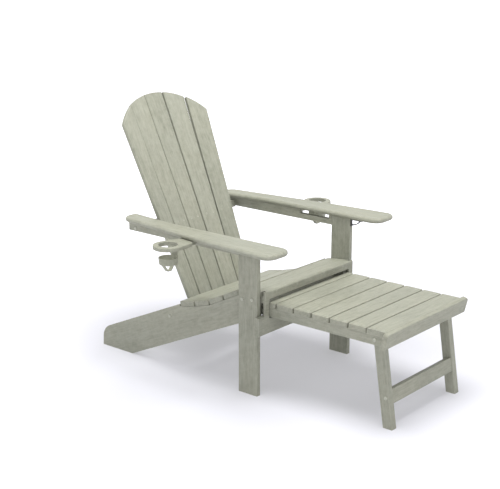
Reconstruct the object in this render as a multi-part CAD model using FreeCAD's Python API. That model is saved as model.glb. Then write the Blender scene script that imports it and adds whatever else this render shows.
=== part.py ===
import FreeCAD, Part
import math
import os

# Adirondack chair with a pull-out footrest and two swing-out cup holders.
# Units are millimetres. The chair faces -Y, +Z is up and -X is the sitter's right.
# Every length along Y below is measured from the front face of the front legs; SHIFT_Y then
# moves the whole chair so that the origin is the centre of its footprint, on the floor.

V = FreeCAD.Vector
UP = V(0, 0, 1)

# ---- boards and overall size ----
T = 19.0                      # thickness of every board
EASE = 2.5                    # rounding of the long board edges
END_R = 7.0                   # rounding of the slats' end corners, seen from above
REAR_Y = 811.0                # back of the side rails' feet
FRONT_Y = -527.0              # front of the footrest's feet
SHIFT_Y = -0.5 * (REAR_Y + FRONT_Y)

# ---- front legs ----
LEG_IN = 265.0                # distance of a leg's inner face from the middle plane
LEG_OUT = LEG_IN + T
LEG_W = 86.0
LEG_H = 544.0                 # also the underside of the arms

# ---- side rails, which carry the seat and run down to the floor as the rear legs ----
RAIL_IN = LEG_IN - T
RAIL_NOSE_Y = 12.0
RAIL_LOW_Z = 288.0            # height of the lower edge at the nose
RAIL_FOOT_Y = 647.0           # front of the foot on the floor
RAIL_HIP = (391.0, 257.3)     # where the straight upper edge behind the seat begins
RAIL_HEEL = (807.0, 72.4)
RAIL_HEEL_R = 58.0

# ---- front stretcher, notched for the footrest rails ----
STRETCHER_X = 298.0
STRETCHER_Z = (232.0, 300.0)
NOTCH_X = (212.5, 239.5)
NOTCH_Z = 286.5

# ---- seat: slope and width of each slat, from the nose to the back ----
SEAT_NOSE = (-11.0, 367.3)
SEAT_SLATS = [(6.5, 108.0), (26.0, 79.0), (26.5, 73.0), (15.5, 72.0), (11.0, 72.0)]
SEAT_GAP = 4.0
SEAT_HALF = 264.0

# ---- seat apron: thin board with a wide opening that the footrest passes through ----
APRON_Y = (-19.0, -11.0)
APRON_HALF = 262.5
APRON_TOP = 386.5
APRON_OPEN_HALF = 239.0
APRON_OPEN_Z = 358.5

# ---- back: flat slats in a fan that is hollow towards the sitter ----
BACK_Y0 = 309.0               # where the back's plane meets the floor
BACK_TAN = 0.452              # its lean
BACK_LOW_Z = 196.0
BACK_TOP_Z = 986.0
BACK_LOW_SCREW_Z = 216.0      # height of the fixings into the lower rail
BACK_HIGH_SCREW_Z = LEG_H - 26.0
BACK_RAIL_H = 36.0            # height of the lower rail, along the slats
ARCH_R = 300.0
BACK_T = 15.0
BACK_EASE = 4.0               # rounding of the slats' front edges
BACK_REAR_EASE = 1.5
BACK_GAP = 3.6
# each line between slats as (distance from the middle at the floor, spread per height)
BACK_LINES = [(32.4, 0.018), (97.4, 0.056), (158.0, 0.084)]
BACK_TURN = [0.0, 5.4, 10.6]  # how far each slat turns towards the sitter
BACK_SET = [(6.0, 0.0072), (4.1, 0.0011), (1.5, -0.0158)]

# ---- arms ----
ARM_TOP = LEG_H + T
ARM_FRONT_Y = -134.0
ARM_CORNER_R = 42.0
ARM_ROUND = 9.0               # the arm's edge is a full round nose
ARM_RAIL_Y = (LEG_W, 626.0)
ARM_RAIL_LOW = 508.0
ARM_NOTCH_Y = (99.0, 239.0)
ARM_NOTCH_Z = 528.5

# ---- cup holders ----
CUP_PIVOT = (312.0, 268.5)
CUP_CENTRE = (433.0, 280.0)
CUP_T = 14.0
CUP_DISC_R = 54.0
CUP_TAIL_R = 22.0
CUP_TAB = (366.0, 240.0, 10.0)   # centre and radius of the thumb tab's corner
CUP_HOLE_R = 35.0
CUP_TOP = LEG_H - 0.5
CUP_LOW = CUP_TOP - CUP_T
CUP_BAND = (474.0, 497.0)     # bottom and top of the band that steadies the cup
CUP_BAND_R = (33.0, 35.0)
CUP_WALL = 2.6
CUP_FLOOR = 448.0             # underside of the strap the cup stands on

# ---- footrest ----
FR_TOP = 345.0
FR_SLAT_LOW = FR_TOP - T
FR_RAIL_LOW = 292.0
FR_RAIL_X = (216.5, 235.5)
FR_SCREW_X = 221.5
FR_HALF = 237.5
FR_PITCH = 76.7
FR_GAP = 4.0
FR_FIRST_GAP_Y = -44.0        # middle of the rearmost gap between footrest slats
FR_REAR_SLAT_Y = -14.0
FR_RAIL_END_Y = 40.0
FR_BOARD_HALF = 256.0
FR_BOARD_TOP = (-526.0, 346.0)
FR_BOARD_LOW = (-511.5, 289.0)
FR_LEG_W = 38.0
FR_LEG_D = 28.0
FR_LEG_TAN = 0.156
GLIDE_Y = -9.5                # axis the footrest tips about, level with its rails' underside
GLIDE_R = 8.0

# ---- fasteners ----
SCREW_R = 2.2
SCREW_HEAD_R = 4.6
BOLT_R = 4.0
BOLT_HEAD_R = 6.5
BOLT_HEAD_H = 3.0

nodes = {}


# ---------------------------------------------------------------- helpers

def box(x0, x1, y0, y1, z0, z1):
    return Part.makeBox(x1 - x0, y1 - y0, z1 - z0, V(x0, y0, z0))


def prism_x(outline, x0, x1):
    """A (y, z) outline pushed along X."""
    pts = [V(x0, y, z) for y, z in outline]
    return Part.Face(Part.makePolygon(pts + pts[:1])).extrude(V(x1 - x0, 0, 0))


def mirrored(shape):
    return shape.mirror(V(0, 0, 0), V(1, 0, 0))


def one(shape):
    """The single solid inside a Boolean result."""
    return shape.removeSplitter().Solids[0]


def eased(shape, direction, radius=EASE):
    """Round the straight edges that run along one direction."""
    picked = []
    for edge in shape.Edges:
        along = edge.lastVertex().Point - edge.firstVertex().Point
        if along.Length > 30 and abs(along.normalize().dot(direction)) > 0.999:
            picked.append(edge)
    return shape.makeFillet(radius, picked)


def rounded_wire(corners, z):
    """A closed outline of (x, y, radius) corners at height z, each corner an arc."""
    ends = []
    count = len(corners)
    for i in range(count):
        x, y, r = corners[i]
        here = V(x, y, z)
        before = V(corners[i - 1][0], corners[i - 1][1], z) - here
        after = V(corners[(i + 1) % count][0], corners[(i + 1) % count][1], z) - here
        before.normalize()
        after.normalize()
        half = before.getAngle(after) / 2
        reach = r / math.tan(half)
        inward = (before + after).normalize()
        middle = here + inward * (r / math.sin(half) - r)
        ends.append((here + before * reach, middle, here + after * reach))
    edges = []
    for i in range(count):
        start, middle, stop = ends[i]
        edges.append(Part.Arc(start, middle, stop).toShape())
        edges.append(Part.LineSegment(stop, ends[(i + 1) % count][0]).toShape())
    return Part.Wire(edges)


def slat_board(half, width):
    """A slat along X with rounded end corners and eased edges, its underside at z = 0."""
    board = box(-half, half, 0, width, 0, T)
    upright = [e for e in board.Edges if e.BoundBox.ZLength > T / 2]
    board = board.makeFillet(END_R, upright)
    return eased(board, V(1, 0, 0))


def taut_loop(circles, z):
    """The outline of a belt drawn round two circles (x, y, r)."""
    ends = []
    for i in range(2):
        x0, y0, r0 = circles[i]
        x1, y1, r1 = circles[1 - i]
        run = V(x1 - x0, y1 - y0, 0)
        lean = math.asin((r0 - r1) / run.Length)
        turn = math.atan2(run.y, run.x) - math.pi / 2 + lean
        out = V(math.cos(turn), math.sin(turn), 0)
        ends.append((V(x0, y0, z) + out * r0, V(x1, y1, z) + out * r1, turn))
    edges = []
    for i in range(2):
        start, stop, turn = ends[i]
        edges.append(Part.LineSegment(start, stop).toShape())
        x, y, r = circles[1 - i]
        after = ends[1 - i]
        sweep = (after[2] - turn) % (2 * math.pi)
        middle = V(x, y, z) + V(math.cos(turn + sweep / 2), math.sin(turn + sweep / 2), 0) * r
        edges.append(Part.Arc(stop, middle, after[0]).toShape())
    return Part.Wire(edges)


def screw(head, inward, length):
    """A countersunk screw with its head flush at a point, driven along a direction."""
    cone = Part.makeCone(SCREW_HEAD_R, SCREW_R, 3.2, head, inward)
    shank = Part.makeCylinder(SCREW_R, length, head, inward)
    return one(cone.fuse(shank))


def bolt(seat, inward, length):
    """A round-headed bolt whose head sits on a surface."""
    crown = seat - inward * BOLT_HEAD_H
    cap = Part.makeCylinder(BOLT_HEAD_R, BOLT_HEAD_H, crown, inward)
    cap = cap.makeFillet(2.0, [e for e in cap.Edges if e.Curve.TypeId == "Part::GeomCircle"
                               and (e.Curve.Center - crown).Length < 0.1])
    shank = Part.makeCylinder(BOLT_R, length, seat, inward)
    return one(cap.fuse(shank))


def drill(names, tools):
    """Cut the exact shape of each fastener out of the boards it goes through."""
    for name in names:
        box_here = nodes[name].BoundBox
        near = [tool for tool in tools if tool.BoundBox.intersect(box_here)]
        if near:
            nodes[name] = one(nodes[name].cut(Part.makeCompound(near)))


# ---------------------------------------------------------------- base frame

def front_leg():
    leg = eased(box(LEG_IN, LEG_OUT, 0, LEG_W, 0, LEG_H), UP)
    return leg


def seat_line():
    """Start, end and slope of each slat's underside, from the nose to the back."""
    y, z = SEAT_NOSE
    line = []
    for slope, width in SEAT_SLATS:
        a = math.radians(slope)
        end = (y + width * math.cos(a), z - width * math.sin(a))
        line.append(((y, z), end, a))
        y = end[0] + SEAT_GAP * math.cos(a)
        z = end[1] - SEAT_GAP * math.sin(a)
    return line


def side_rail():
    top = []
    for start, end, slope in seat_line():
        top += [start, end]
    first_y, first_z = top[0]
    drop = math.tan(seat_line()[0][2]) * (RAIL_NOSE_Y - first_y)
    top[0] = (RAIL_NOSE_Y, first_z - drop)
    outline = top + [RAIL_HIP, RAIL_HEEL, (REAR_Y, 0), (RAIL_FOOT_Y, 0), (RAIL_NOSE_Y, RAIL_LOW_Z)]
    rail = prism_x(outline, RAIL_IN, LEG_IN)
    heel = [e for e in rail.Edges if e.BoundBox.YLength < 0.01 and e.BoundBox.ZLength < 0.01
            and abs(e.BoundBox.YMin - RAIL_HEEL[0]) < 0.01]
    return rail.makeFillet(RAIL_HEEL_R, heel)


def front_stretcher():
    board = box(-STRETCHER_X, STRETCHER_X, -T, 0, STRETCHER_Z[0], STRETCHER_Z[1])
    board = eased(board, V(1, 0, 0))
    for side in (-1, 1):
        x0, x1 = sorted((side * NOTCH_X[0], side * NOTCH_X[1]))
        board = board.cut(box(x0, x1, -T - 1, 1, NOTCH_Z, STRETCHER_Z[1] + 1))
        board = board.cut(Part.makeCylinder(GLIDE_R + 0.3, x1 - x0, V(x0, GLIDE_Y, FR_RAIL_LOW),
                                            V(1, 0, 0)))
    return one(board)


def seat_slat(start, slope, width):
    """A slat lying on the side rails, nose edge at start."""
    slat = slat_board(SEAT_HALF, width)
    slat.rotate(V(0, 0, 0), V(1, 0, 0), -math.degrees(slope))
    slat.translate(V(0, start[0], start[1]))
    return slat


def front_seat_slat(slat):
    """The first slat, with its front corners cut away beside the apron."""
    for side in (-1, 1):
        x0, x1 = sorted((side * RAIL_IN, side * (LEG_IN + 5.0)))
        slat = slat.cut(box(x0, x1, APRON_Y[0], 1.0, STRETCHER_Z[1], APRON_TOP + T))
    return one(slat)


def seat_apron():
    y0, y1 = APRON_Y
    board = box(-APRON_HALF, APRON_HALF, y0, y1, STRETCHER_Z[1], APRON_TOP)
    nose = [e for e in board.Edges if e.BoundBox.XLength > APRON_HALF
            and e.BoundBox.ZMin > APRON_TOP - 0.1 and e.BoundBox.YMax < y0 + 0.1]
    board = board.makeFillet(6.0, nose)
    opening = box(-APRON_OPEN_HALF, APRON_OPEN_HALF, y0 - 1, y1 + 1, STRETCHER_Z[1] - 1,
                  APRON_OPEN_Z)
    return one(board.cut(opening))


# ---------------------------------------------------------------- back

BACK_ANGLE = math.atan(BACK_TAN)
BACK_UP = V(0, math.sin(BACK_ANGLE), math.cos(BACK_ANGLE))
BACK_REAR = V(0, math.cos(BACK_ANGLE), -math.sin(BACK_ANGLE))


def back_point(x, z, depth):
    """A point at a height, a distance behind the back's front plane."""
    return V(x, BACK_Y0 + BACK_TAN * z, z) + BACK_REAR * depth


def back_slat_block(index, thickness, offset, spread=0.0):
    """One tapered slat, uncut at the top, as the space between its front and rear faces.

    Spread widens it on both sides, to clear the gaps beside it as well."""
    outer = BACK_LINES[abs(index)]
    inner = BACK_LINES[abs(index) - 1] if index else (-outer[0], -outer[1])
    sign = -1 if index < 0 else 1
    set0, set1 = BACK_SET[abs(index)]
    corners = []
    for z in (BACK_LOW_Z, BACK_TOP_Z + 40.0):
        edge_in = inner[0] + inner[1] * z + BACK_GAP / 2
        edge_out = outer[0] + outer[1] * z - (BACK_GAP / 2 if abs(index) < 2 else 0)
        middle = (edge_in + edge_out) / 2
        half = (edge_out - edge_in) / 2 + spread
        depth = set0 + set1 * z
        corners.append((sign * middle, half, depth, z))
    turn = math.radians(BACK_TURN[abs(index)]) * sign
    across = V(math.cos(turn), 0, 0) - BACK_REAR * math.sin(turn)
    low = back_point(corners[0][0], corners[0][3], corners[0][2])
    high = back_point(corners[1][0], corners[1][3], corners[1][2])
    along = (high - low).normalize()
    across = (across - along * across.dot(along)).normalize()
    normal = along.cross(across)
    if normal.y < 0:
        normal = normal * -1
    base = [low - across * corners[0][1], low + across * corners[0][1],
            high + across * corners[1][1], high - across * corners[1][1]]
    base = [p + normal * offset for p in base]
    return Part.Face(Part.makePolygon(base + base[:1])).extrude(normal * thickness)


def back_arch():
    """Everything under the arch, square to the back."""
    centre = back_point(0, BACK_TOP_Z, -60) - BACK_UP * ARCH_R
    disc = Part.makeCylinder(ARCH_R, 160, centre, BACK_REAR)
    hip = centre + BACK_REAR * 80
    corner = hip - V(400, 0, 0) - BACK_REAR * 80 - BACK_UP * 900
    block = Part.makeBox(800, 160, 900)
    block.Placement = FreeCAD.Placement(corner, FreeCAD.Rotation(V(1, 0, 0),
                                                                 -math.degrees(BACK_ANGLE)))
    return disc.fuse(block)


def back_slat(index, arch):
    slat = back_slat_block(index, BACK_T, 0)
    long_edges = []
    for edge in slat.Edges:
        along = edge.lastVertex().Point - edge.firstVertex().Point
        if along.Length > 400:
            long_edges.append(edge)
    long_edges.sort(key=lambda edge: edge.CenterOfMass.y)
    slat = slat.makeFillet(BACK_REAR_EASE, long_edges[2:])
    front = []
    for edge in slat.Edges:
        along = edge.lastVertex().Point - edge.firstVertex().Point
        if along.Length > 400 and any(edge.CenterOfMass.isEqual(e.CenterOfMass, 3.0)
                                      for e in long_edges[:2]):
            front.append(edge)
    slat = slat.makeFillet(BACK_EASE, front)
    return one(slat.common(arch))


def back_lower_rail():
    """Board behind the slats' lower ends, fixed between the side rails."""
    low = back_point(0, 200.0, BACK_T + 4.0)
    board = Part.makeBox(2 * RAIL_IN, 30.0, BACK_RAIL_H)
    board.Placement = FreeCAD.Placement(low - V(RAIL_IN, 0, 0),
                                        FreeCAD.Rotation(V(1, 0, 0), -math.degrees(BACK_ANGLE)))
    for index in range(-2, 3):
        board = board.cut(back_slat_block(index, 60.0, BACK_T - 60.0, BACK_GAP))
    return one(board)


def back_upper_rail():
    """Shaped rail behind the back at arm height, fixed between the arm rails."""
    z0, z1 = LEG_H - 40.0, LEG_H - 12.0
    rear = BACK_Y0 + BACK_TAN * z1 + T + 34.0
    rail = box(-LEG_IN, LEG_IN, rear - 62.0, rear, z0, z1)
    rail = eased(rail, V(1, 0, 0))
    for index in range(-2, 3):
        rail = rail.cut(back_slat_block(index, 120.0, BACK_T - 120.0, BACK_GAP))
    ends = []
    for side in (-1, 1):
        x0, x1 = sorted((side * 192.0, side * 280.0))
        ends.append(box(x0, x1, rear - 63.0, rear - 32.0, z0 - 1, z1 + 1))
    return one(rail.cut(Part.makeCompound(ends)))


# ---------------------------------------------------------------- arms

def arm():
    corners = [(385.0, ARM_FRONT_Y, ARM_CORNER_R), (366.0, 145.0, 3200.0), (309.0, 637.0, 40.0),
               (238.0, 637.0, 14.0), (260.0, 420.0, 300.0), (257.0, ARM_FRONT_Y, ARM_CORNER_R)]
    face = Part.Face(rounded_wire(corners, LEG_H))
    plate = face.extrude(V(0, 0, T))
    rims = [e for e in plate.Edges if abs(e.BoundBox.ZLength) < 0.01]
    return plate.makeFillet(ARM_ROUND, rims)


def arm_rail():
    """Rail behind the leg, under the arm, notched where the cup holder swings in."""
    y0, y1 = ARM_RAIL_Y
    outline = [(y0, LEG_H), (y0, ARM_RAIL_LOW), (y1, ARM_RAIL_LOW), (y1, LEG_H),
               (ARM_NOTCH_Y[1], LEG_H), (ARM_NOTCH_Y[1], ARM_NOTCH_Z),
               (ARM_NOTCH_Y[0], ARM_NOTCH_Z), (ARM_NOTCH_Y[0], LEG_H)]
    return prism_x(outline, LEG_IN, LEG_OUT)


BRACKET_X = (LEG_IN + 3.0, LEG_IN + 12.0)
BRACKET_T = 3.5
BRACKET_REACH = 52.0
BRACKET_DROP = 28.0
BRACKET_BOW = (-4.0, LEG_H + 25.0, 49.0)   # y, z and radius of the bowed brace


def arm_bracket():
    """Narrow steel strap against the leg and the arm, with a bowed brace between."""
    x0, x1 = BRACKET_X
    upright = box(x0, x1, -BRACKET_T, 0, LEG_H - BRACKET_DROP, LEG_H)
    level = box(x0, x1, -BRACKET_REACH, 0, LEG_H - BRACKET_T, LEG_H)
    y, z, r = BRACKET_BOW
    bow = Part.makeCylinder(r, x1 - x0, V(x0, y, z), V(1, 0, 0))
    bow = bow.cut(Part.makeCylinder(r - BRACKET_T, x1 - x0, V(x0, y, z), V(1, 0, 0)))
    bow = bow.common(box(x0, x1, -BRACKET_REACH, -1.0, LEG_H - BRACKET_DROP, LEG_H - 1.0))
    return one(upright.fuse([level, bow]))


# ---------------------------------------------------------------- cup holders

def cup_plate():
    """Plate that swings out from under the arm; its tab passes through the rail's notch."""
    disc = (CUP_CENTRE[0], CUP_CENTRE[1], CUP_DISC_R)
    tail = (CUP_PIVOT[0], CUP_PIVOT[1], CUP_TAIL_R)
    main = Part.Face(taut_loop([tail, disc], CUP_LOW)).extrude(V(0, 0, CUP_T))
    flare = Part.Face(taut_loop([CUP_TAB, disc], CUP_LOW)).extrude(V(0, 0, CUP_T))
    plate = one(main.fuse(flare))
    plate = plate.makeFillet(2.5, [e for e in plate.Edges if abs(e.BoundBox.ZLength) < 0.01])
    for (x, y), r in ((CUP_CENTRE, CUP_HOLE_R), (CUP_PIVOT, BOLT_R + 0.1)):
        plate = plate.cut(Part.makeCylinder(r, CUP_T + 2, V(x, y, CUP_LOW - 1)))
    return one(plate)


def cup_basket():
    """Moulded band below the plate, carried by one hanger on the side next to the arm."""
    x, y = CUP_CENTRE
    low, high = CUP_BAND
    r_low, r_high = CUP_BAND_R
    foot = V(x, y, low)
    band = Part.makeCone(r_low, r_high, high - low, foot)
    core = Part.makeCone(r_low - CUP_WALL, r_high - CUP_WALL, high - low, foot)
    hanger = box(x - r_high - 1.2, x - r_low + 0.6, y - 13, y + 13, low + 3, CUP_LOW)
    tab = box(x - 50.0, x - r_low, y - 13, y + 13, CUP_LOW - CUP_WALL, CUP_LOW)
    body = band.fuse([hanger, tab]).cut(core)
    return one(body.cut(Part.makeCylinder(r_low - CUP_WALL, 100, foot)))


def cup_strap():
    """Bent strap across the bottom of the band, which the cup stands on."""
    x, y = CUP_CENTRE
    low = CUP_BAND[0]
    side = 29.3
    outer = [(-side, low + 12), (-side, low + 1), (-9, CUP_FLOOR), (9, CUP_FLOOR), (side, low + 1),
             (side, low + 12)]
    inner = [(side - 3, low + 12), (side - 3, low + 2), (7.6, CUP_FLOOR + 3),
             (-7.6, CUP_FLOOR + 3), (3 - side, low + 2), (3 - side, low + 12)]
    pts = [V(x + a, y - 7, z) for a, z in outer + inner]
    return Part.Face(Part.makePolygon(pts + pts[:1])).extrude(V(0, 14, 0))


# ---------------------------------------------------------------- footrest

def board_rear_y(z):
    """Rear face of the leaning front board at a height."""
    dy = FR_BOARD_LOW[0] - FR_BOARD_TOP[0]
    dz = FR_BOARD_LOW[1] - FR_BOARD_TOP[1]
    length = math.hypot(dy, dz)
    back = (-dz / length * T, dy / length * T)
    top = (FR_BOARD_TOP[0] + back[0], FR_BOARD_TOP[1] + back[1])
    return top[0] + (z - top[1]) * dy / dz


def footrest_rail():
    outline = [(board_rear_y(FR_RAIL_LOW), FR_RAIL_LOW), (board_rear_y(FR_SLAT_LOW), FR_SLAT_LOW),
               (FR_RAIL_END_Y, FR_SLAT_LOW), (FR_RAIL_END_Y, FR_RAIL_LOW + 14),
               (FR_RAIL_END_Y - 14, FR_RAIL_LOW)]
    return prism_x(outline, FR_RAIL_X[0], FR_RAIL_X[1])


def footrest_slats():
    """(front, rear) limits of each slat, from the rearmost forwards."""
    spans = [(FR_FIRST_GAP_Y + FR_GAP / 2, FR_REAR_SLAT_Y)]
    for k in range(5):
        rear = FR_FIRST_GAP_Y - k * FR_PITCH - FR_GAP / 2
        spans.append((rear - FR_PITCH + FR_GAP, rear))
    return spans


def footrest_slat(y0, y1):
    slat = slat_board(FR_HALF, y1 - y0)
    slat.translate(V(0, y0, FR_SLAT_LOW))
    return slat


def footrest_last_slat():
    rear = FR_FIRST_GAP_Y - 5 * FR_PITCH - FR_GAP / 2
    outline = [(board_rear_y(FR_SLAT_LOW), FR_SLAT_LOW), (board_rear_y(FR_TOP), FR_TOP),
               (rear, FR_TOP), (rear, FR_SLAT_LOW)]
    return eased(prism_x(outline, -FR_HALF, FR_HALF), V(1, 0, 0), 1.5)


def footrest_front_board():
    top_y, top_z = FR_BOARD_TOP
    low_y, low_z = FR_BOARD_LOW
    length = math.hypot(low_y - top_y, low_z - top_z)
    back = ((top_z - low_z) / length * T, (low_y - top_y) / length * T)
    outline = [FR_BOARD_TOP, FR_BOARD_LOW, (low_y + back[0], low_z + back[1]),
               (top_y + back[0], top_z + back[1])]
    board = prism_x(outline, -FR_BOARD_HALF, FR_BOARD_HALF)
    upper = [e for e in board.Edges if e.BoundBox.XLength < 0.01 and e.Length < T + 0.1
             and e.BoundBox.ZMin > (top_z + low_z) / 2 - T / 2 and e.BoundBox.YLength > T / 2]
    return eased(board.makeFillet(14.0, upper), V(1, 0, 0), 3.0)


def footrest_leg():
    lean = FR_LEG_TAN * FR_SLAT_LOW
    outline = [(FRONT_Y, 0), (FRONT_Y + FR_LEG_W, 0), (FRONT_Y + FR_LEG_W + lean, FR_SLAT_LOW),
               (FRONT_Y + lean, FR_SLAT_LOW)]
    leg = prism_x(outline, FR_RAIL_X[0] - FR_LEG_D, FR_RAIL_X[0])
    return eased(leg, V(0, FR_LEG_TAN, 1).normalize(), 3.0)


def footrest_stretcher():
    """Board between the footrest's legs, following their lean."""
    z0, z1 = 83.0, 134.0
    inner = FR_RAIL_X[0] - FR_LEG_D
    slant = math.atan(FR_LEG_TAN)
    back = (T * math.cos(slant), -T * math.sin(slant))
    front0 = (FRONT_Y + FR_LEG_TAN * z0 + 3.0, z0)
    front1 = (FRONT_Y + FR_LEG_TAN * z1 + 3.0, z1)
    outline = [front0, front1, (front1[0] + back[0], front1[1] + back[1]),
               (front0[0] + back[0], front0[1] + back[1])]
    return eased(prism_x(outline, -inner, inner), V(1, 0, 0))


def footrest_rear_bar():
    return box(-FR_RAIL_X[0], FR_RAIL_X[0], FR_RAIL_END_Y - 14 - T, FR_RAIL_END_Y - 14,
               FR_RAIL_LOW + 2, FR_SLAT_LOW - 2)


def footrest_glide():
    """Half-round block that rocks in the stretcher's notch under the rail."""
    x0, x1 = NOTCH_X[0] + 0.5, NOTCH_X[1] - 0.5
    rod = Part.makeCylinder(GLIDE_R, x1 - x0, V(x0, GLIDE_Y, FR_RAIL_LOW), V(1, 0, 0))
    keep = box(x0, x1, GLIDE_Y - 20, GLIDE_Y + 20, FR_RAIL_LOW - 20, FR_RAIL_LOW)
    return one(rod.common(keep))


# ---------------------------------------------------------------- build the boards

leg = front_leg()
nodes["front_leg_left"] = leg
nodes["front_leg_right"] = mirrored(leg)
rail = side_rail()
nodes["side_rail_left"] = rail
nodes["side_rail_right"] = mirrored(rail)
nodes["front_stretcher"] = front_stretcher()

seat_names = []
for number, (start, end, slope) in enumerate(seat_line()):
    name = "seat_slat_%d" % (number + 1)
    nodes[name] = seat_slat(start, slope, SEAT_SLATS[number][1])
    seat_names.append(name)
nodes["seat_slat_1"] = front_seat_slat(nodes["seat_slat_1"])
nodes["seat_apron"] = seat_apron()

arch = back_arch()
back_names = []
for index in range(-2, 3):
    name = "back_slat_%d" % (index + 3)
    nodes[name] = back_slat(index, arch)
    back_names.append(name)
nodes["back_lower_rail"] = back_lower_rail()
nodes["back_upper_rail"] = back_upper_rail()

for name, shape in (("arm", arm()), ("arm_rail", arm_rail()), ("arm_bracket", arm_bracket()),
                    ("cup_plate", cup_plate()), ("cup_basket", cup_basket()),
                    ("cup_strap", cup_strap()), ("footrest_rail", footrest_rail()),
                    ("footrest_leg", footrest_leg()), ("footrest_glide", footrest_glide())):
    nodes[name + "_left"] = shape
    nodes[name + "_right"] = mirrored(shape)

footrest_names = []
for number, (y0, y1) in enumerate(footrest_slats()):
    name = "footrest_slat_%d" % (number + 1)
    nodes[name] = footrest_slat(y0, y1)
    footrest_names.append(name)
nodes["footrest_slat_7"] = footrest_last_slat()
footrest_names.append("footrest_slat_7")
nodes["footrest_front_board"] = footrest_front_board()
nodes["footrest_stretcher"] = footrest_stretcher()
nodes["footrest_rear_bar"] = footrest_rear_bar()


# ---------------------------------------------------------------- fasteners

def both(items):
    """Fasteners on the left side, with their mirror images."""
    return items + [mirrored(item) for item in items]


def slat_screws(start, slope, places, x):
    """Screws through one end of a sloping slat, at distances from its front edge."""
    down = V(0, -math.sin(slope), -math.cos(slope))
    along = V(0, math.cos(slope), -math.sin(slope))
    face = V(x, start[0], start[1]) - down * T
    return [screw(face + along * place, down, 42.0) for place in places]


seat_screws = []
for number, (start, end, slope) in enumerate(seat_line()):
    places = (45.0, 63.0) if number == 0 else (17.0, 53.0)
    seat_screws += slat_screws(start, slope, places, (RAIL_IN + LEG_IN) / 2)
seat_screws = both(seat_screws)
drill(seat_names + ["side_rail_left", "side_rail_right"], seat_screws)

apron_screws = []
for x in (80.0, 200.0):
    apron_screws.append(screw(V(x, APRON_Y[0], 378.0), V(0, 1, 0), 28.0))
apron_screws = both(apron_screws)
drill(["seat_apron", "seat_slat_1"], apron_screws)

footrest_screws = []
for y0, y1 in footrest_slats()[1:] + [(-501.0, -429.5)]:
    for k in (0.25, 0.75):
        at = V(FR_SCREW_X, y0 + (y1 - y0) * k, FR_TOP)
        footrest_screws.append(screw(at, V(0, 0, -1), 42.0))
at = V(FR_SCREW_X, sum(footrest_slats()[0]) / 2, FR_TOP)
footrest_screws.append(screw(at, V(0, 0, -1), 42.0))
footrest_screws = both(footrest_screws)
drill(footrest_names + ["footrest_rail_left", "footrest_rail_right"], footrest_screws)

board_screws = []
lean = V(0, FR_BOARD_TOP[1] - FR_BOARD_LOW[1], FR_BOARD_LOW[0] - FR_BOARD_TOP[0]).normalize()
middle = V(FR_SCREW_X + 9.0, (FR_BOARD_TOP[0] + FR_BOARD_LOW[0]) / 2,
           (FR_BOARD_TOP[1] + FR_BOARD_LOW[1]) / 2 - 8.0)
on_face = middle - lean * (lean.dot(middle - V(middle.x, FR_BOARD_TOP[0], FR_BOARD_TOP[1])))
board_screws.append(screw(on_face, lean, 45.0))
board_screws = both(board_screws)
drill(["footrest_front_board", "footrest_rail_left", "footrest_rail_right", "footrest_slat_7"],
      board_screws)

back_screws = []
for index in range(-2, 3):
    for height in (BACK_HIGH_SCREW_Z, BACK_LOW_SCREW_Z):
        line = BACK_LINES[abs(index)]
        inner = BACK_LINES[abs(index) - 1] if index else (-line[0], -line[1])
        mid = (line[0] + inner[0] + (line[1] + inner[1]) * height) / 2
        mid = mid * (-1 if index < 0 else 1)
        turn = math.radians(BACK_TURN[abs(index)]) * (-1 if index < 0 else 1)
        inward = (BACK_REAR * math.cos(turn) + V(math.sin(turn), 0, 0)).normalize()
        depth = BACK_SET[abs(index)][0] + BACK_SET[abs(index)][1] * height
        for step in (-18.0, 18.0):
            at = back_point(mid, height, depth) + V(math.cos(turn), 0, 0) * step
            at = at - BACK_REAR * (math.sin(turn) * step)
            face = nodes["back_slat_%d" % (index + 3)]
            ray = Part.makeLine(at - inward * 30, at + inward * 8)
            hit = ray.common(face).Vertexes
            at = min((v.Point for v in hit), key=lambda q: q.y)
            back_screws.append(screw(at, inward, 38.0))
drill(back_names + ["back_lower_rail", "back_upper_rail"], back_screws)

leg_bolts = []
for y, z in ((23.0, 356.5), (67.0, 351.0)):
    leg_bolts.append(bolt(V(LEG_OUT, y, z), V(-1, 0, 0), 2 * T))
leg_bolts = both(leg_bolts)
drill([n + s for n in ("front_leg", "side_rail") for s in ("_left", "_right")], leg_bolts)

rail_bolts = []
lower = back_point(0, BACK_LOW_SCREW_Z, T + 18.0)
upper_y = BACK_Y0 + BACK_TAN * BACK_HIGH_SCREW_Z + T + 30.0
for x, y, z in ((LEG_IN, lower.y, lower.z), (LEG_OUT, upper_y, BACK_HIGH_SCREW_Z)):
    rail_bolts.append(bolt(V(x, y, z), V(-1, 0, 0), T + 40.0))
rail_bolts = both(rail_bolts)
drill(["side_rail_left", "side_rail_right", "arm_rail_left", "arm_rail_right",
       "back_lower_rail", "back_upper_rail"], rail_bolts)

stretcher_screws = []
for z in (250.0, 284.0):
    stretcher_screws.append(screw(V((LEG_IN + LEG_OUT) / 2, -T, z), V(0, 1, 0), 55.0))
stretcher_screws = both(stretcher_screws)
drill(["front_stretcher", "front_leg_left", "front_leg_right"], stretcher_screws)

arm_screws = []
for y in (20.0, 64.0, 330.0, 560.0):
    arm_screws.append(screw(V((LEG_IN + LEG_OUT) / 2, y, ARM_TOP), V(0, 0, -1), 50.0))
arm_screws = both(arm_screws)
drill([n + s for n in ("arm", "front_leg", "arm_rail") for s in ("_left", "_right")], arm_screws)

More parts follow.
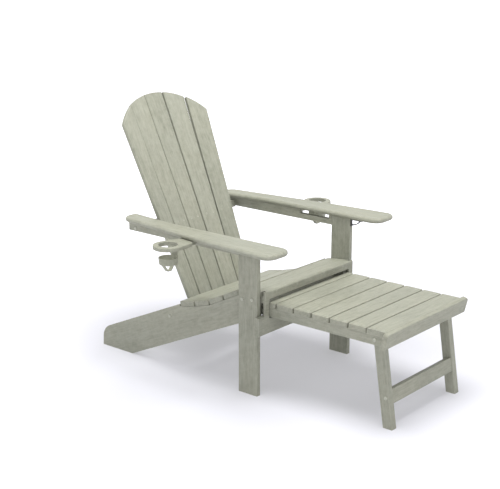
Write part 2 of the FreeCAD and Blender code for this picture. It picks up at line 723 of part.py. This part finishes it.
footrest_bolts = []
y = FRONT_Y + FR_LEG_W / 2 + FR_LEG_TAN * 309.0
footrest_bolts.append(bolt(V(FR_RAIL_X[1], y, 309.0), V(-1, 0, 0), T + 20.0))
y = FRONT_Y + FR_LEG_TAN * 108.0 + 12.0
footrest_bolts.append(bolt(V(FR_RAIL_X[0], y, 108.0), V(-1, 0, 0), FR_LEG_D + 30.0))
y = FR_RAIL_END_Y - 14 - T / 2
footrest_bolts.append(bolt(V(FR_RAIL_X[1], y, 309.0), V(-1, 0, 0), T + 30.0))
footrest_bolts = both(footrest_bolts)
drill(["footrest_rail_left", "footrest_rail_right", "footrest_leg_left", "footrest_leg_right",
       "footrest_stretcher", "footrest_rear_bar"], footrest_bolts)

cup_bolts = []
pivot = V(CUP_PIVOT[0], CUP_PIVOT[1], CUP_LOW - 0.5)
washer = Part.makeCylinder(11.0, 1.5, pivot - V(0, 0, 1.5))
cup_bolt = bolt(pivot - V(0, 0, 1.5), UP, CUP_T + 2.0 + T - 5.0)
cup_bolts = both([one(cup_bolt.fuse(washer))])
drill(["arm_left", "arm_right"], cup_bolts)

nodes["seat_screws"] = Part.makeCompound(seat_screws)
nodes["seat_apron_screws"] = Part.makeCompound(apron_screws)
nodes["footrest_screws"] = Part.makeCompound(footrest_screws)
nodes["footrest_board_screws"] = Part.makeCompound(board_screws)
nodes["back_screws"] = Part.makeCompound(back_screws)
nodes["leg_bolts"] = Part.makeCompound(leg_bolts)
nodes["rail_bolts"] = Part.makeCompound(rail_bolts)
nodes["stretcher_screws"] = Part.makeCompound(stretcher_screws)
nodes["arm_screws"] = Part.makeCompound(arm_screws)
nodes["footrest_bolts"] = Part.makeCompound(footrest_bolts)
nodes["cup_pivot_bolts"] = Part.makeCompound(cup_bolts)

# ---------------------------------------------------------------- write the parts

os.makedirs("parts", exist_ok=True)
for name, shape in nodes.items():
    placed = shape.copy()
    placed.translate(V(0, SHIFT_Y, 0))
    placed.exportStep("parts/%s.step" % name)
    print(name, len(placed.Solids), placed.isValid(), round(placed.Volume))
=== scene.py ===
import bpy
import math
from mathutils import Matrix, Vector

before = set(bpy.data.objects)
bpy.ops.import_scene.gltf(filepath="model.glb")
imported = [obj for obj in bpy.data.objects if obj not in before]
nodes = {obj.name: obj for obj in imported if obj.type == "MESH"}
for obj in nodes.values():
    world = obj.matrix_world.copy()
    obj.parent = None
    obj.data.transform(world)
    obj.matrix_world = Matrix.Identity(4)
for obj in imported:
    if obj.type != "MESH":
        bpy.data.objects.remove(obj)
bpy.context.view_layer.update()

BACK_LEAN = math.radians(24.3)   # lean of the back slats, from upright
RAIL_SLOPE = math.radians(24.2)  # slope of the side rails, from level
LEG_SPLAY = 0.156                # run of a footrest leg for each unit of its height


# ------------------------------------------------------------------ node helpers

class Graph:
    """A small wrapper that adds and links shader nodes."""

    def __init__(self, name):
        self.mat = bpy.data.materials.new(name)
        self.mat.use_nodes = True
        self.tree = self.mat.node_tree
        self.tree.nodes.clear()
        self.out = self.tree.nodes.new("ShaderNodeOutputMaterial")
        self.shader = self.tree.nodes.new("ShaderNodeBsdfPrincipled")
        self.link(self.shader.outputs[0], self.out.inputs[0])

    def link(self, a, b):
        self.tree.links.new(a, b)

    def add(self, kind, inputs=None, **settings):
        node = self.tree.nodes.new(kind)
        for key, value in settings.items():
            setattr(node, key, value)
        for key, value in (inputs or {}).items():
            socket = node.inputs[key]
            if hasattr(value, "is_output"):
                self.link(value, socket)
            else:
                socket.default_value = value
        return node

    def coords(self, rotation, offset, stretch):
        """Object coordinates turned so that x runs along the grain, then stretched."""
        source = self.add("ShaderNodeTexCoord").outputs["Object"]
        turned = self.add("ShaderNodeMapping", {"Vector": source, "Rotation": rotation},
                          vector_type="TEXTURE").outputs[0]
        return self.add("ShaderNodeMapping", {"Vector": turned, "Location": offset,
                                              "Scale": stretch}).outputs[0]

    def noise(self, vector, scale, detail=4.0, rough=0.55, distort=0.0):
        return self.add("ShaderNodeTexNoise", {"Vector": vector, "Scale": scale,
                                               "Detail": detail, "Roughness": rough,
                                               "Distortion": distort}).outputs[0]

    def ramp(self, value, stops):
        node = self.add("ShaderNodeValToRGB", {"Fac": value})
        ramp = node.color_ramp
        while len(ramp.elements) < len(stops):
            ramp.elements.new(0.5)
        for element, (position, colour) in zip(ramp.elements, stops):
            element.position = position
            element.color = colour if len(colour) == 4 else (*colour, 1.0)
        return node.outputs[0]

    def span(self, value, low, high, to_low, to_high):
        return self.add("ShaderNodeMapRange", {"Value": value, "From Min": low,
                                               "From Max": high, "To Min": to_low,
                                               "To Max": to_high}).outputs[0]

    def math(self, operation, a, b):
        return self.add("ShaderNodeMath", {0: a, 1: b}, operation=operation).outputs[0]

    def mix(self, factor, a, b, blend="MIX"):
        node = self.add("ShaderNodeMix", data_type="RGBA", blend_type=blend)
        for socket, value in ((node.inputs[0], factor), (node.inputs[6], a),
                              (node.inputs[7], b)):
            if hasattr(value, "is_output"):
                self.link(value, socket)
            elif isinstance(value, tuple):
                socket.default_value = value if len(value) == 4 else (*value, 1.0)
            else:
                socket.default_value = value
        return node.outputs[2]

    def edge_mask(self, radius):
        """1 on the worn edges of a board, 0 on its faces."""
        rounded = self.add("ShaderNodeBevel", {"Radius": radius}, samples=6).outputs[0]
        flat = self.add("ShaderNodeNewGeometry").outputs["Normal"]
        dot = self.add("ShaderNodeVectorMath", {0: rounded, 1: flat},
                       operation="DOT_PRODUCT").outputs["Value"]
        return self.span(dot, 0.995, 0.86, 0.0, 1.0)


def pick(seed, low, high):
    """A repeatable number between two limits."""
    wave = math.sin(seed * 12.9898 + 4.1414) * 43758.5453
    return low + (high - low) * (wave - math.floor(wave))


# ------------------------------------------------------------------ materials

# linear colours of the board, from the bottom of its embossed grain to the top: the grain's own
# tone, plus painted shade in the grooves and a painted highlight on the ridges
BOARD_DARK = (0.192, 0.197, 0.152)
BOARD_MID = (0.268, 0.271, 0.219)
BOARD_PALE = (0.328, 0.330, 0.272)
# painted shade for the small pit hollows of the bump
PIT_SHADE_COLOUR = (0.125, 0.128, 0.095)
GRIT = (0.400, 0.403, 0.340)
RUBBED = (0.400, 0.403, 0.338)   # worn edges


def lumber(name, rotation, seed):
    """Extruded garden-furniture board: sage green with a fine embossed, mottled wood grain, whose
    colour also carries painted shade in the grooves and small hollows of the relief and a painted
    highlight on its ridges.
    """
    g = Graph(name)
    offset = (pick(seed, -3, 3), pick(seed + 0.3, -3, 3), pick(seed + 0.7, -3, 3))
    long = g.coords(rotation, offset, (1.0, 7.0, 7.0))
    fine = g.coords(rotation, offset, (5.0, 42.0, 42.0))
    plain = g.coords(rotation, offset, (1.0, 1.0, 1.0))

    figure = g.noise(long, 4.2, 5.0, 0.62, 0.9)
    streak = g.noise(fine, 3.6, 5.0, 0.62, 0.25)
    mottle = g.noise(plain, 46.0, 5.0, 0.68)
    cloud = g.noise(plain, 3.4, 3.0, 0.5)
    speck = g.noise(plain, 460.0, 2.0, 0.6)

    tone = pick(seed + 0.11, -0.03, 0.03)
    # the grain value shares the streak and mottle noises with the bump height, so the ramp paints
    # shade into the grooves and light onto the ridges as well as the grain's own tone
    grain = g.math("ADD", g.math("MULTIPLY", figure, 0.22), g.math("MULTIPLY", streak, 0.40))
    grain = g.math("ADD", grain, g.math("MULTIPLY", mottle, 0.38))
    base = g.ramp(grain, [(0.33 - tone, BOARD_DARK), (0.50 - tone, BOARD_MID),
                          (0.68 - tone, BOARD_PALE)])
    shade = g.ramp(cloud, [(0.25, (0.93, 0.94, 0.93)), (0.75, (1.05, 1.04, 1.01))])
    tinted = g.mix(1.0, base, shade, "MULTIPLY")
    # dark specks where the speck noise is low, which is where the bump sinks: painted shade in
    # each pit
    pit_shade = g.span(speck, 0.34, 0.24, 0.0, 0.55)
    with_pit_shade = g.mix(pit_shade, tinted, PIT_SHADE_COLOUR)
    grit = g.span(speck, 0.60, 0.76, 0.0, 0.30)
    gritty = g.mix(grit, with_pit_shade, GRIT)
    worn = g.math("MULTIPLY", g.edge_mask(0.0032), g.span(cloud, 0.35, 0.65, 0.20, 0.60))
    colour = g.mix(worn, gritty, RUBBED)
    g.link(colour, g.shader.inputs["Base Color"])
    g.link(g.span(mottle, 0.3, 0.7, 0.48, 0.66), g.shader.inputs["Roughness"])
    g.shader.inputs["Specular IOR Level"].default_value = 0.30

    groove = g.math("ADD", g.math("MULTIPLY", streak, 0.7), g.math("MULTIPLY", mottle, 0.6))
    height = g.math("ADD", groove, g.math("MULTIPLY", speck, 0.12))
    bump = g.add("ShaderNodeBump", {"Strength": 0.60, "Distance": 0.0012, "Height": height})
    g.link(bump.outputs[0], g.shader.inputs["Normal"])
    return g.mat


def moulded(name, colour, pale, rough):
    """Moulded plastic with a fine pebbled skin and rubbed edges."""
    g = Graph(name)
    plain = g.coords((0, 0, 0), (0.4, 0.2, 0.9), (1, 1, 1))
    pebble = g.noise(plain, 900.0, 2.0, 0.5)
    cloud = g.noise(plain, 14.0, 4.0, 0.6)
    base = g.ramp(cloud, [(0.3, colour), (0.75, pale)])
    worn = g.math("MULTIPLY", g.edge_mask(0.0015), 0.4)
    g.link(g.mix(worn, base, tuple(min(1.0, c * 1.35) for c in pale)),
           g.shader.inputs["Base Color"])
    g.link(g.span(pebble, 0.3, 0.7, rough - 0.06, rough + 0.08), g.shader.inputs["Roughness"])
    bump = g.add("ShaderNodeBump", {"Strength": 0.25, "Distance": 0.0004, "Height": pebble})
    g.link(bump.outputs[0], g.shader.inputs["Normal"])
    return g.mat


def coated_steel(name, colour, pale, rough, metal):
    """Coated or brushed steel with scuffs and slight unevenness."""
    g = Graph(name)
    plain = g.coords((0, 0, 0), (0.1, 0.7, 0.3), (1, 1, 1))
    scuff = g.noise(plain, 160.0, 5.0, 0.7, 1.2)
    orange = g.noise(plain, 700.0, 2.0, 0.5)
    base = g.ramp(scuff, [(0.42, colour), (0.62, pale)])
    worn = g.math("MULTIPLY", g.edge_mask(0.001), 0.5)
    g.link(g.mix(worn, base, tuple(min(1.0, c * 1.6) for c in pale)),
           g.shader.inputs["Base Color"])
    g.link(g.span(scuff, 0.3, 0.7, rough - 0.08, rough + 0.1), g.shader.inputs["Roughness"])
    g.shader.inputs["Metallic"].default_value = metal
    bump = g.add("ShaderNodeBump", {"Strength": 0.2, "Distance": 0.0003, "Height": orange})
    g.link(bump.outputs[0], g.shader.inputs["Normal"])
    return g.mat


# grain directions: the rotation that carries the texture's x axis onto the board's length
ALONG_X = (0.0, 0.0, 0.0)
ALONG_Y = (0.0, 0.0, math.radians(90))
ALONG_Z = (0.0, math.radians(-90), 0.0)


def direction(along):
    """Rotation that carries +X onto a direction, as plain angles."""
    return tuple(Vector((1, 0, 0)).rotation_difference(Vector(along)).to_euler())


LEANING = direction((0, math.sin(BACK_LEAN), math.cos(BACK_LEAN)))
SLOPING = direction((0, math.cos(RAIL_SLOPE), -math.sin(RAIL_SLOPE)))
SPLAYED = direction((0, LEG_SPLAY, 1.0))


def grain_of(name):
    if name.startswith("front_leg"):
        return ALONG_Z
    if name.startswith("footrest_leg"):
        return SPLAYED
    if name.startswith("side_rail"):
        return SLOPING
    if name.startswith("back_slat"):
        return LEANING
    if name.startswith(("arm_left", "arm_right", "arm_rail", "footrest_rail")):
        return ALONG_Y
    return ALONG_X


cup_plastic = moulded("cup_plastic", (0.235, 0.240, 0.180), (0.300, 0.305, 0.240), 0.5)
nylon = moulded("black_nylon", (0.020, 0.020, 0.020), (0.035, 0.035, 0.034), 0.45)
black_steel = coated_steel("black_steel", (0.022, 0.022, 0.021), (0.045, 0.044, 0.042), 0.42, 0.0)
board_screw = coated_steel("board_screw", (0.235, 0.240, 0.185), (0.305, 0.310, 0.245), 0.5, 0.0)
board_bolt = coated_steel("board_bolt", (0.310, 0.315, 0.255), (0.400, 0.405, 0.335), 0.45, 0.0)


def give(name, material):
    slots = nodes[name].data.materials
    if len(slots):
        for i in range(len(slots)):
            slots[i] = material
    else:
        slots.append(material)


for index, name in enumerate(sorted(nodes)):
    if name.startswith(("cup_basket", "cup_strap")):
        give(name, cup_plastic)
    elif name.startswith("footrest_glide"):
        give(name, nylon)
    elif name.startswith(("arm_bracket", "cup_pivot")):
        give(name, black_steel)
    elif name.endswith("screws"):
        give(name, board_screw)
    elif name.endswith("bolts"):
        give(name, board_bolt)
    else:
        give(name, lumber("lumber_" + name, grain_of(name), index + 1.0))


# ------------------------------------------------------------------ floor, light and camera

# the floor gives off light of its own, faint under the chair and full away from it, so that the
# backdrop is white from every side; GLOW_NEAR and GLOW_FAR are distances from the origin in metres
GLOW_NEAR, GLOW_FAR = 0.7, 2.2
GLOW_LOW, GLOW_HIGH = 0.32, 1.02


def floor_material():
    g = Graph("pale_floor")
    plain = g.coords((0, 0, 0), (0, 0, 0), (1, 1, 1))
    cloud = g.noise(plain, 1.6, 3.0, 0.5)
    g.link(g.ramp(cloud, [(0.3, (0.42, 0.42, 0.455)), (0.7, (0.43, 0.43, 0.465))]),
           g.shader.inputs["Base Color"])
    away = g.add("ShaderNodeVectorMath", {0: plain}, operation="LENGTH").outputs["Value"]
    g.link(g.span(away, GLOW_NEAR, GLOW_FAR, GLOW_LOW, GLOW_HIGH),
           g.shader.inputs["Emission Strength"])
    g.shader.inputs["Emission Color"].default_value = (0.985, 0.985, 1.0, 1.0)
    g.shader.inputs["Roughness"].default_value = 0.8
    g.shader.inputs["Specular IOR Level"].default_value = 0.1
    return g.mat


def stage_sweep():
    """A floor that curves up into a backdrop on every side, as one round dish."""
    rings = [(0.0, 0.0), (9.0, 0.0), (10.5, 0.22), (11.6, 0.85), (12.2, 1.9), (12.4, 3.4),
             (12.4, 9.0)]
    steps = 96
    verts = [(0.0, 0.0, 0.0)]
    for radius, height in rings[1:]:
        for k in range(steps):
            angle = 2 * math.pi * k / steps
            verts.append((radius * math.cos(angle), radius * math.sin(angle), height))
    faces = [(0, 1 + k, 1 + (k + 1) % steps) for k in range(steps)]
    for ring in range(len(rings) - 2):
        a = 1 + ring * steps
        b = a + steps
        for k in range(steps):
            n = (k + 1) % steps
            faces.append((a + k, b + k, b + n, a + n))
    mesh = bpy.data.meshes.new("floor")
    mesh.from_pydata(verts, [], faces)
    mesh.polygons.foreach_set("use_smooth", [True] * len(mesh.polygons))
    mesh.materials.append(floor_material())
    floor = bpy.data.objects.new("floor", mesh)
    bpy.context.scene.collection.objects.link(floor)


def area_light(name, place, target, size, power, colour):
    data = bpy.data.lights.new(name, "AREA")
    data.shape = "DISK"
    data.size = size
    data.energy = power
    data.color = colour
    lamp = bpy.data.objects.new(name, data)
    lamp.location = place
    lamp.rotation_euler = (Vector(target) - Vector(place)).to_track_quat("-Z", "Y").to_euler()
    bpy.context.scene.collection.objects.link(lamp)


stage_sweep()
area_light("top_light", (-0.4, -0.3, 4.8), (0, 0, 0.4), 3.0, 300, (1.0, 1.0, 0.99))
area_light("front_light", (-1.2, -4.6, 2.6), (0, 0, 0.4), 2.6, 12, (1.0, 0.99, 0.98))
area_light("side_light", (-4.6, 0.6, 2.2), (0, 0, 0.4), 2.6, 1, (0.98, 0.99, 1.0))
bpy.context.scene.view_settings.view_transform = "Standard"

world = bpy.data.worlds.new("studio")
world.use_nodes = True
world.node_tree.nodes["Background"].inputs[0].default_value = (0.93, 0.95, 1.0, 1.0)
world.node_tree.nodes["Background"].inputs[1].default_value = 0.06
bpy.context.scene.world = world

camera_data = bpy.data.cameras.new("camera")
camera_data.sensor_width = 36.0
camera_data.lens = 84.7
camera_data.clip_end = 60.0
camera = bpy.data.objects.new("camera", camera_data)
camera.location = (-3.2736, -2.6193, 1.6482)
look = Vector((0.7376, 0.6191, -0.2694))
camera.rotation_euler = look.to_track_quat("-Z", "Y").to_euler()
bpy.context.scene.collection.objects.link(camera)
bpy.context.scene.camera = camera

bpy.context.view_layer.update()
